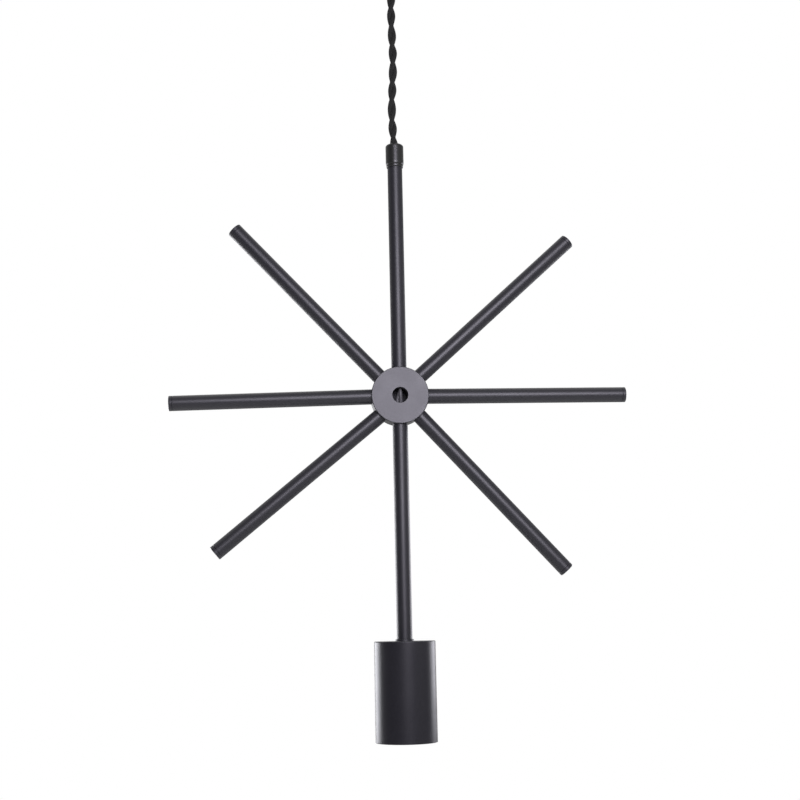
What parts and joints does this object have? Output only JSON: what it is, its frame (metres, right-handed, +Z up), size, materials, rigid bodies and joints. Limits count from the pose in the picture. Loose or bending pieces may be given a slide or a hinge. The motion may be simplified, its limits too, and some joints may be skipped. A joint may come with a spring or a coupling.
{
  "type": "pendant light",
  "caption": "Black pendant light: tubes stand out of a flat round hub like a star, with a lamp cup below, hung on a twisted textile cord from a round canopy.",
  "frame": {"origin": "on the ceiling, at the middle of the ceiling bracket's upper face, where the light is held", "axes": "+Z up along the cord, +X to the right across the star seen from its face, -Y out of the hub's face with the hole, towards the viewer"},
  "size_m": [0.3831, 0.1, 0.7015],
  "materials": {
    "black_coat": "satin black powder coat with a fine even grain",
    "zinc_steel": "zinc-plated steel, dull",
    "brass_metal": "plain brass, lightly tarnished",
    "nickel_shell": "nickel-plated thin sheet",
    "black_insulator": "moulded black insulating plastic",
    "white_insulator": "glazed white insulator",
    "cord_cover": "black braided textile cover",
    "core_sheath": "smooth black cable sheath"
  },
  "bodies": {
    "ceiling": {"ceiling_bracket": "zinc_steel", "canopy": "black_coat", "canopy_screws": "black_coat", "canopy_grip": "black_coat", "grip_nut": "zinc_steel", "grip_screw": "zinc_steel", "terminal_block": "white_insulator", "terminal_barrels": "brass_metal", "terminal_screws": "zinc_steel", "block_screw": "zinc_steel", "cord_tail": "cord_cover"},
    "cord": {"suspension_cord": "cord_cover"},
    "gland_bush": {"gland_bush": "black_insulator"},
    "centre_contact": {"centre_pin": "brass_metal", "pin_clip": "brass_metal"},
    "lamp": {"gland_cap": "black_coat", "gland_collar": "black_coat", "upper_rod": "black_coat", "lower_rod": "black_coat", "hub": "black_coat", "arm_right": "black_coat", "arm_upper_right": "black_coat", "arm_upper_left": "black_coat", "arm_left": "black_coat", "arm_lower_left": "black_coat", "arm_lower_right": "black_coat", "arm_cap_right": "black_coat", "arm_cap_upper_right": "black_coat", "arm_cap_upper_left": "black_coat", "arm_cap_left": "black_coat", "arm_cap_lower_left": "black_coat", "arm_cap_lower_right": "black_coat", "seat_washer": "black_coat", "lamp_cup": "black_coat", "gland_screw": "zinc_steel", "gland_nipple": "zinc_steel", "hub_nipples": "zinc_steel", "holder_nipple": "zinc_steel", "cup_nut": "zinc_steel", "pin_spring": "zinc_steel", "holder_screws": "zinc_steel", "live_strip": "brass_metal", "neutral_strip": "brass_metal", "holder_terminals": "brass_metal", "thread_shell": "nickel_shell", "holder_cap": "black_insulator", "holder_skirt": "black_insulator", "contact_block": "white_insulator", "inner_flex": "core_sheath"}
  },
  "joints": [
    {"name": "cord_swing", "type": "hinge", "parent": "ceiling", "child": "cord", "pos_m": [0, 0, -0.0405], "axis": [0, 1, 0], "range_deg": [-30, 30]},
    {"name": "lamp_tilt", "type": "hinge", "parent": "cord", "child": "gland_bush", "pos_m": [0, 0, -0.2005], "axis": [1, 0, 0], "range_deg": [-18, 18]},
    {"name": "lamp_turn", "type": "hinge", "parent": "gland_bush", "child": "lamp", "pos_m": [0, 0, -0.2005], "axis": [0, 0, 1], "range_deg": [-180, 180]},
    {"name": "contact_press", "type": "slide", "parent": "lamp", "child": "centre_contact", "axis": [0, 0, 1], "range_m": [0, 0.0025], "stiffness_N_per_m": 1200, "deforming": ["pin_spring"]}
  ]
}
